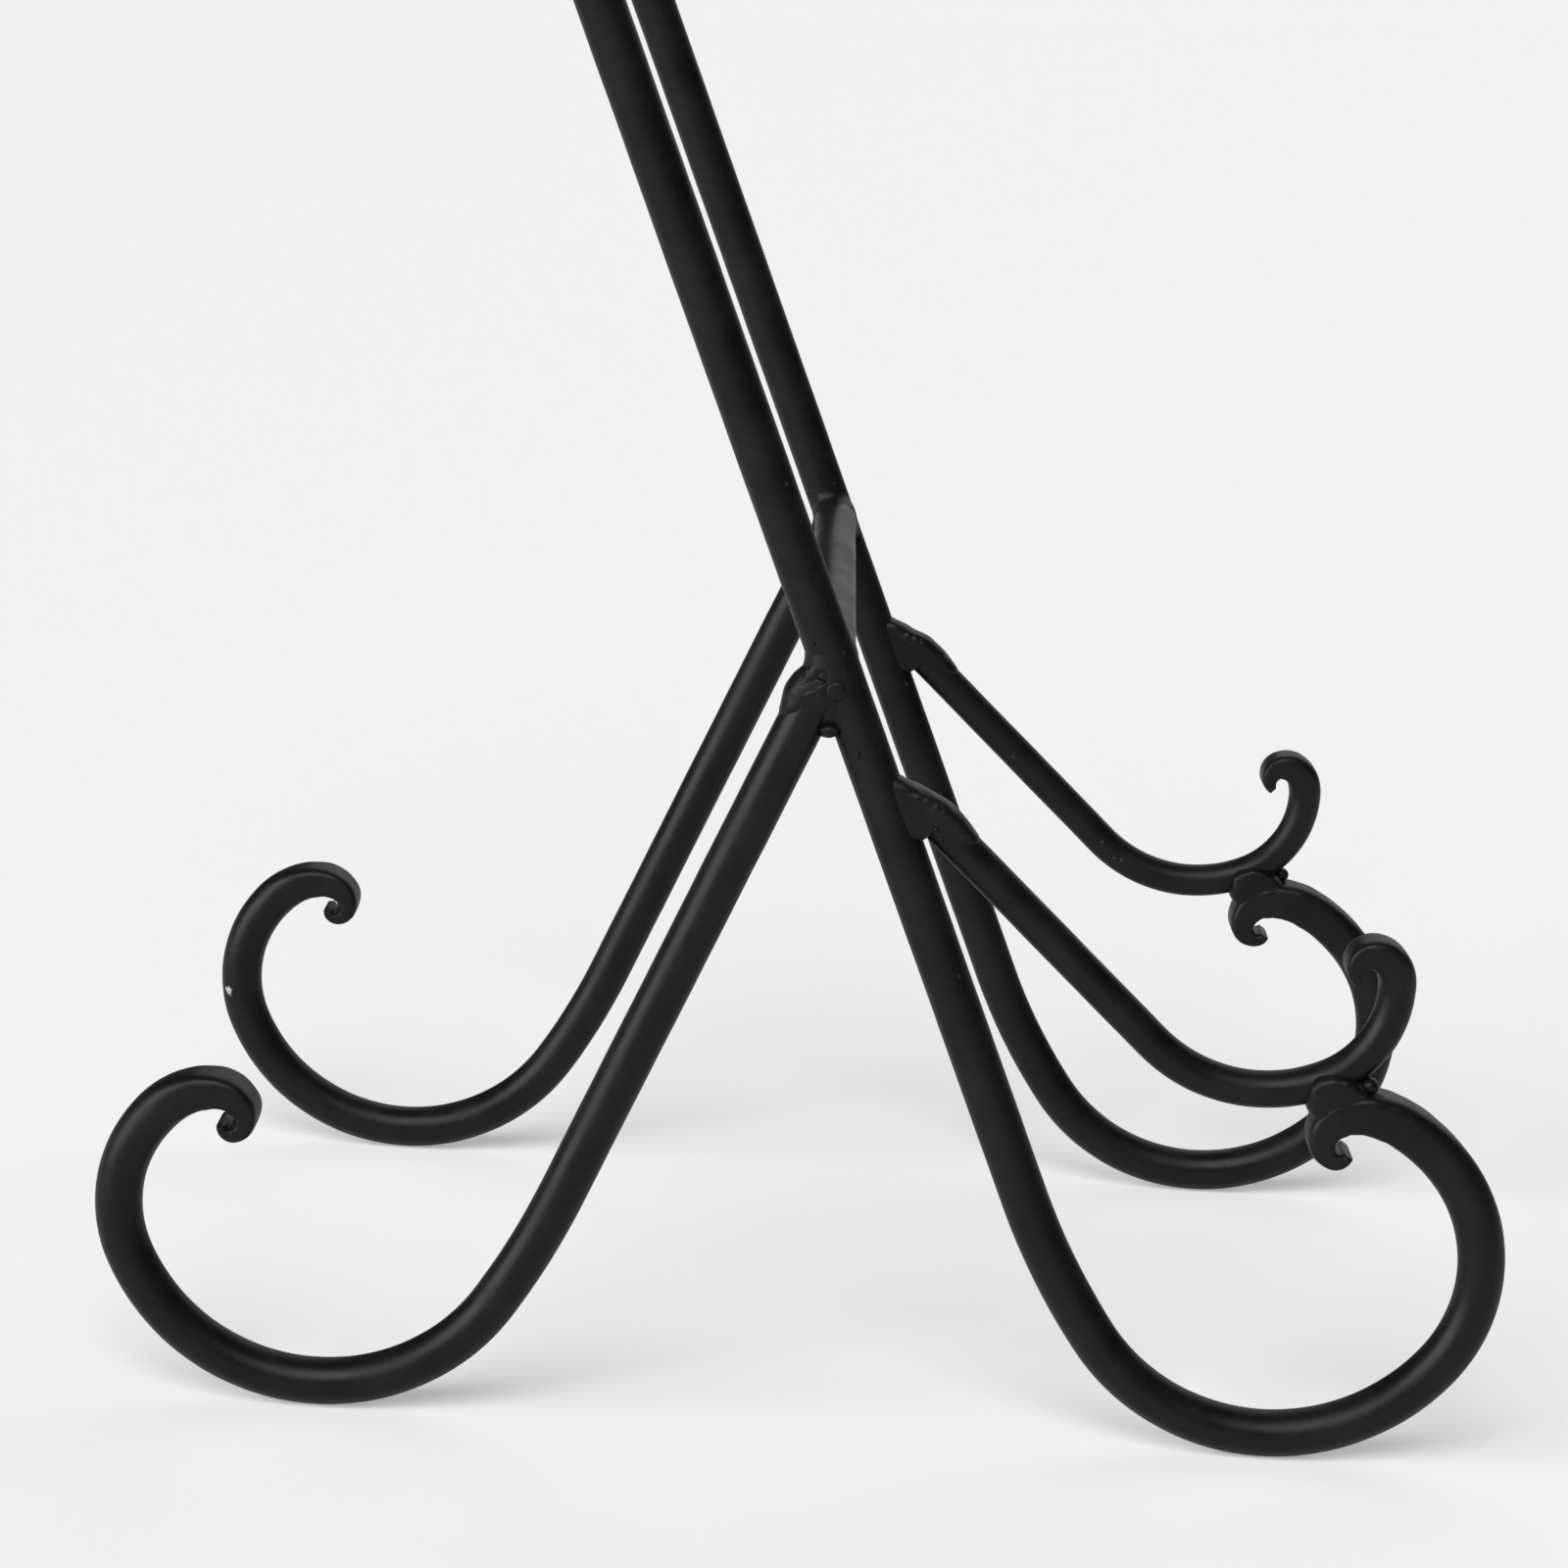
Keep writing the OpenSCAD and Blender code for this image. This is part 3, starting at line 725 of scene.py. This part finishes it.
class EaselStage(bpy.types.PropertyGroup):
    """The floor and the lights."""

    floor: FloatProperty(name="Floor", description="Half the width of the floor",
                         default=40.0, min=1, max=100, unit="LENGTH")
    floor_colour: FloatVectorProperty(name="Floor colour", description="Colour of the floor",
                                      default=(0.93, 0.93, 0.93), subtype="COLOR", size=3)
    key: FloatProperty(name="Key light", description="Strength of the light from the left side",
                       default=1.55, min=0, max=10)
    side: FloatProperty(name="Side light", description="Strength of the light by the back",
                        default=2.2, min=0, max=10)
    back: FloatProperty(name="Back light", description="Strength of the light from the right side",
                        default=0.5, min=0, max=10)
    surround: FloatProperty(name="Surround", description="Brightness of the room",
                            default=0.0255, min=0, max=3)


# ---------------------------------------------------------------- pieces


def front_run(bar_d):
    """Length of the upright below the joint that brings the front loop down to the floor."""
    loop = bar_line((0, JOINT[1]), LEAN - 90, FRONT_BENDS, bar_d)
    return (loop["v"].min() - bar_d / 2) / math.cos(math.radians(LEAN))


def rear_run(bar_d):
    """Length of the leg that brings the rear loop down to the floor."""
    loop = bar_line((0, JOINT[1]), -90 - LEG_LEAN, REAR_BENDS, bar_d)
    return (loop["v"].min() - bar_d / 2) / math.cos(math.radians(LEG_LEAN))


class EASEL_OT_uprights(bpy.types.Operator):
    """The two uprights: upper scroll, long straight run, front foot and its forged tip"""

    bl_idname = "easel.uprights"
    bl_label = "Uprights"

    def execute(self, context):
        sizes = context.scene.easel_sizes
        lower = bar_line(JOINT, LEAN - 90, ((front_run(sizes.bar_d), 0),) + FRONT_BENDS,
                         sizes.bar_d, FRONT_TIP, 1)
        upper = bar_line(JOINT, 90 + LEAN, TOP_MOVES, sizes.bar_d, TOP_TIP, 1)
        line = with_rims(end_to_end(turned_round(upper), lower), 0.45 * MM)
        for i, (side, way) in enumerate(SIDES):
            rings = section_rings(line, way * FRAME_X, sizes.sides, 11 + i, sizes.uneven,
                                  sizes.hammered)
            piece(side + "_upright_bar", [tube(rings)], "bar_black", "bar_paint",
                  side + "_upright")
        return {"FINISHED"}


class EASEL_OT_rear_legs(bpy.types.Operator):
    """The two rear legs, each with its foot and forged tip"""

    bl_idname = "easel.rear_legs"
    bl_label = "Rear legs"

    def execute(self, context):
        sizes = context.scene.easel_sizes
        hidden = 3.2 * MM
        way_down = np.array([-math.sin(math.radians(LEG_LEAN)), -math.cos(math.radians(LEG_LEAN))])
        moves = ((rear_run(sizes.bar_d) - hidden, 0),) + REAR_BENDS
        line = with_rims(bar_line(JOINT + way_down * hidden, -90 - LEG_LEAN, moves,
                                  sizes.bar_d, REAR_TIP, -1), 0.45 * MM)
        for i, (side, way) in enumerate(SIDES):
            rings = section_rings(line, way * FRAME_X, sizes.sides, 21 + i, sizes.uneven,
                                  sizes.hammered)
            piece(side + "_rear_leg_bar", [tube(rings)], "bar_black", "bar_paint",
                  side + "_rear_leg")
        return {"FINISHED"}


class EASEL_OT_shelf_hooks(bpy.types.Operator):
    """The two shelf hooks, cut square behind and forged in front"""

    bl_idname = "easel.shelf_hooks"
    bl_label = "Shelf hooks"

    def execute(self, context):
        sizes = context.scene.easel_sizes
        line = with_rims(bar_line(JOINT + HOOK_START, -HOOK_SLOPE, HOOK_MOVES, sizes.hook_d,
                                  HOOK_TIP, 1), 0.4 * MM)
        for i, (side, way) in enumerate(SIDES):
            rings = section_rings(line, way * FRAME_X, sizes.sides, 31 + i, sizes.uneven,
                                  0.7 * sizes.hammered)
            piece(side + "_shelf_hook_bar", [tube(rings)], "bar_black", "bar_paint",
                  side + "_shelf_hook")
        return {"FINISHED"}


class EASEL_OT_crossbars(bpy.types.Operator):
    """The lower and upper crossbars, plain round bar with cut ends"""

    bl_idname = "easel.crossbars"
    bl_label = "Crossbars"

    def execute(self, context):
        sizes = context.scene.easel_sizes
        for i, node in enumerate(("lower_crossbar", "upper_crossbar")):
            low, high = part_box(node)
            centre = middle(node)
            line = with_rims(bar_line((low[0], 0), 0, ((high[0] - low[0], 0),), sizes.bar_d),
                             0.3 * MM)
            rings = section_rings(line, 0.0, sizes.sides, 41 + i, 1.4 * sizes.uneven, 0.0)
            # The bar was drawn along u: turn it to run along X through the node's middle.
            along = JOINT_Y - rings[..., 1]
            placed_rings = np.stack([along, centre[1] + rings[..., 0], centre[2] + rings[..., 2]],
                                    -1)
            piece(node + "_bar", [tube(placed_rings)], "bar_black", "bar_paint", node)
        return {"FINISHED"}


class EASEL_OT_leg_welds(bpy.types.Operator):
    """The welds that hold the rear legs to the uprights"""

    bl_idname = "easel.leg_welds"
    bl_label = "Leg welds"

    def execute(self, context):
        sizes = context.scene.easel_sizes
        r = sizes.bar_d / 2
        lean = math.radians(LEG_LEAN)
        way = (-math.sin(lean), -math.cos(lean), 0.0)
        back = (-math.cos(lean), math.sin(lean), 0.0)
        for i, (side, sign) in enumerate(SIDES):
            x = sign * FRAME_X
            fillet = saddle_fillet(
                way, back, r,
                lambda c: (1.8 + 0.9 * np.maximum(-c, 0)) * MM,
                lambda c: (1.3 + 0.7 * np.maximum(-c, 0)) * MM,
                lambda c: (0.35 - 0.2 * np.maximum(c, 0) + 0.9 * np.maximum(-c, 0)) * MM,
                (JOINT[0], JOINT[1], 0.0), x, 51 + i)
            blob = pillow(LEG_BLOB, x, r + 0.1 * MM, 55 + i, 0.12 * MM, 0.09, 0.9)
            drip = pillow(LEG_DRIP, x, 3.7 * MM, 57 + i, 0.14 * MM, 0.12, 0.5)
            runs = on_both_faces(LEG_RUNS, x, 58)
            plug = pillow(round_mark(LEG_PLUG), x + sign * (r - 0.5 * MM), 0.85 * MM, 59 + i,
                          0.03 * MM, 0.0, 0.3)
            piece(side + "_leg_bead", [fillet, blob, drip, plug, *runs], "weld_black", "weld_paint",
                  side + "_leg_weld")
        return {"FINISHED"}


class EASEL_OT_hook_welds(bpy.types.Operator):
    """The welds at both ends of the shelf hooks"""

    bl_idname = "easel.hook_welds"
    bl_label = "Hook welds"

    def execute(self, context):
        r = context.scene.easel_sizes.hook_d / 2
        for i, (side, sign) in enumerate(SIDES):
            x = sign * FRAME_X
            wedge = pillow(HOOK_WEDGE, x, r + 0.15 * MM, 61 + i, 0.1 * MM, 0.05, 0.3)
            runs = on_both_faces(HOOK_RUNS, x, 63)
            piece(side + "_hook_top_bead", [wedge, *runs], "weld_black", "weld_paint",
                  side + "_hook_top_weld")
            foot = pillow(FOOT_LUMP, x, r + 1.4 * MM, 65 + i, 0.1 * MM, 0.06, 0.2)
            ball = pillow(round_mark(FOOT_BALL), x + sign * 1.2 * MM, 1.7 * MM, 69 + i,
                          0.1 * MM, 0.0, 0.95)
            piece(side + "_hook_foot_bead", [foot, ball], "weld_black", "weld_paint",
                  side + "_hook_foot_weld")
        return {"FINISHED"}


class EASEL_OT_crossbar_welds(bpy.types.Operator):
    """The beads round the four ends of the crossbars"""

    bl_idname = "easel.crossbar_welds"
    bl_label = "Crossbar welds"

    def execute(self, context):
        sizes = context.scene.easel_sizes
        r = sizes.bar_d / 2
        for i, (side, sign) in enumerate(SIDES):
            for j, bar in enumerate(("lower_crossbar", "upper_crossbar")):
                y, z = middle(bar)[1:]
                bead = saddle_fillet(
                    (0.0, 0.0, -sign), (-DOWN[1], DOWN[0], 0.0), r,
                    lambda c: sizes.bead * (1 + 0 * c), lambda c: 0.8 * sizes.bead * (1 + 0 * c),
                    lambda c: 0.45 * MM * (1 + 0 * c),
                    (JOINT_Y - y, z, 0.0), sign * FRAME_X, 71 + 2 * i + j)
                piece(f"{side}_{bar}_bead", [bead], "weld_black", "weld_paint",
                      f"{side}_{bar}_weld")
        return {"FINISHED"}


class EASEL_OT_spatter(bpy.types.Operator):
    """Beads of weld spatter stuck to the bars round the joints"""

    bl_idname = "easel.spatter"
    bl_label = "Weld spatter"

    def execute(self, context):
        r = context.scene.easel_sizes.bar_d / 2
        rng = np.random.default_rng(81)
        u, v, across, radii = np.array(SPATTER).T
        for side, sign in SIDES:
            outer = stand(u * MM, v * MM, sign * (FRAME_X + across * r))
            down = rng.uniform(-9, 34, STRAY_BEADS) * MM
            angle = rng.uniform(1.9, 4.4, STRAY_BEADS)
            axis = JOINT[:, None] + DOWN[:, None] * down
            out = np.array([-DOWN[1], DOWN[0]])[:, None] * np.sin(angle) * r
            inner = stand(axis[0] + out[0], axis[1] + out[1],
                          sign * (FRAME_X + np.cos(angle) * r))
            places = np.concatenate([outer, inner])
            sizes = np.concatenate([radii, rng.uniform(0.2, 0.42, STRAY_BEADS)]) * MM
            piece(side + "_spatter", [beads(places, sizes)], "weld_black", "weld_paint")
        return {"FINISHED"}


# Lights: name, direction to the light, spread in degrees, colour.
LIGHTS = (("key", (-0.70, 0.14, 0.70), 40, (0.95, 0.95, 1.0)),
          ("side", (-0.48, 0.84, 0.24), 46, (0.92, 0.93, 1.0)),
          ("back", (0.80, -0.30, 0.55), 60, (1.0, 0.99, 0.98)))
# The camera's own right, up and back directions, and where it stands.
CAMERA_AXES = ((0.01540, -0.99849, 0.05265), (0.20902, 0.05470, 0.97638),
               (-0.97779, -0.00403, 0.20955))
CAMERA_PLACE = (-0.7810, 0.0038, 0.2636)
# How bright the floor's own glow and the room are where the camera sees them.
FLOOR_GLOW = 0.32
BACKDROP = 0.88


class EASEL_OT_stage(bpy.types.Operator):
    """The floor, the soft lights, the room and the camera"""

    bl_idname = "easel.stage"
    bl_label = "Stage"

    def execute(self, context):
        scene = context.scene
        stage = scene.easel_stage
        half = stage.floor
        mesh = bpy.data.meshes.new("floor")
        mesh.from_pydata([(-half, -half, 0), (half, -half, 0), (half, half, 0), (-half, half, 0)],
                         [], [(0, 1, 2, 3)])
        floor = bpy.data.objects.new("floor", mesh)
        scene.collection.objects.link(floor)
        pale = bpy.data.materials.new("floor_pale")
        pale.use_nodes = True
        shader = pale.node_tree.nodes["Principled BSDF"]
        shader.inputs["Base Color"].default_value = (*stage.floor_colour, 1)
        shader.inputs["Roughness"].default_value = 0.9
        shader.inputs["Specular IOR Level"].default_value = 0.1
        shader.inputs["Emission Color"].default_value = (1, 1, 1, 1)
        seen = pale.node_tree.nodes.new("ShaderNodeLightPath").outputs["Is Camera Ray"]
        pale.node_tree.links.new(maths(pale.node_tree, "MULTIPLY", seen, FLOOR_GLOW),
                                 shader.inputs["Emission Strength"])
        mesh.materials.append(pale)
        for name, to_light, spread, colour in LIGHTS:
            lamp = bpy.data.lights.new(name, "SUN")
            lamp.energy = getattr(stage, name)
            lamp.angle, lamp.color = math.radians(spread), colour
            light = bpy.data.objects.new(name, lamp)
            back = np.array(to_light) / np.linalg.norm(to_light)
            side = np.cross((0, 0, 1), back)
            side /= np.linalg.norm(side)
            turn = np.array([side, np.cross(back, side), back]).T
            light.matrix_world = Matrix(turn.tolist()).to_4x4()
            scene.collection.objects.link(light)
        world = bpy.data.worlds.new("room")
        world.use_nodes = True
        tree = world.node_tree
        room = tree.nodes["Background"]
        room.inputs["Color"].default_value = (1, 1, 1, 1)
        direction = tree.nodes.new("ShaderNodeTexCoord").outputs["Generated"]
        across = add(tree, "ShaderNodeSeparateXYZ", {0: direction}).outputs["X"]
        level = ramp(tree, across, -0.3, 0.9, stage.surround, 1.75 * stage.surround)
        seen = tree.nodes.new("ShaderNodeLightPath").outputs["Is Camera Ray"]
        tree.links.new(maths(tree, "MAXIMUM", level, maths(tree, "MULTIPLY", seen, BACKDROP)),
                       room.inputs["Strength"])
        scene.world = world
        lens = bpy.data.cameras.new("camera")
        lens.lens, lens.sensor_width = 100, 36
        lens.clip_start, lens.clip_end = 0.01, 200
        camera = bpy.data.objects.new("camera", lens)
        scene.collection.objects.link(camera)
        turn = Matrix(CAMERA_AXES).transposed().to_4x4()
        turn.translation = CAMERA_PLACE
        camera.matrix_world = turn
        scene.camera = camera
        scene.view_settings.view_transform = "Standard"
        return {"FINISHED"}


PIECES = (EASEL_OT_uprights, EASEL_OT_rear_legs, EASEL_OT_shelf_hooks, EASEL_OT_crossbars,
          EASEL_OT_leg_welds, EASEL_OT_hook_welds, EASEL_OT_crossbar_welds, EASEL_OT_spatter,
          EASEL_OT_stage)


class EASEL_PT_pieces(bpy.types.Panel):
    """Lists the easel's pieces, sizes and colours in the sidebar"""

    bl_idname = "EASEL_PT_pieces"
    bl_label = "Display easel"
    bl_space_type = "VIEW_3D"
    bl_region_type = "UI"
    bl_category = "Easel"

    def draw(self, context):
        scene = context.scene
        for settings in (scene.easel_sizes, scene.easel_finish, scene.easel_stage):
            box = self.layout.box()
            for name in settings.bl_rna.properties.keys():
                if name not in ("rna_type", "name"):
                    box.prop(settings, name)
        for operator in PIECES:
            self.layout.operator(operator.bl_idname)


SETTINGS = (("easel_sizes", EaselSizes), ("easel_finish", EaselFinish),
            ("easel_stage", EaselStage))


def register():
    for name, kind in SETTINGS:
        bpy.utils.register_class(kind)
        setattr(bpy.types.Scene, name, PointerProperty(type=kind))
    for kind in (*PIECES, EASEL_PT_pieces):
        bpy.utils.register_class(kind)


def unregister():
    for kind in reversed((*PIECES, EASEL_PT_pieces)):
        bpy.utils.unregister_class(kind)
    for name, kind in reversed(SETTINGS):
        delattr(bpy.types.Scene, name)
        bpy.utils.unregister_class(kind)


def main():
    register()
    for operator in PIECES:
        family, name = operator.bl_idname.split(".")
        getattr(getattr(bpy.ops, family), name)()
    bpy.context.view_layer.update()


if __name__ == "__main__":
    main()
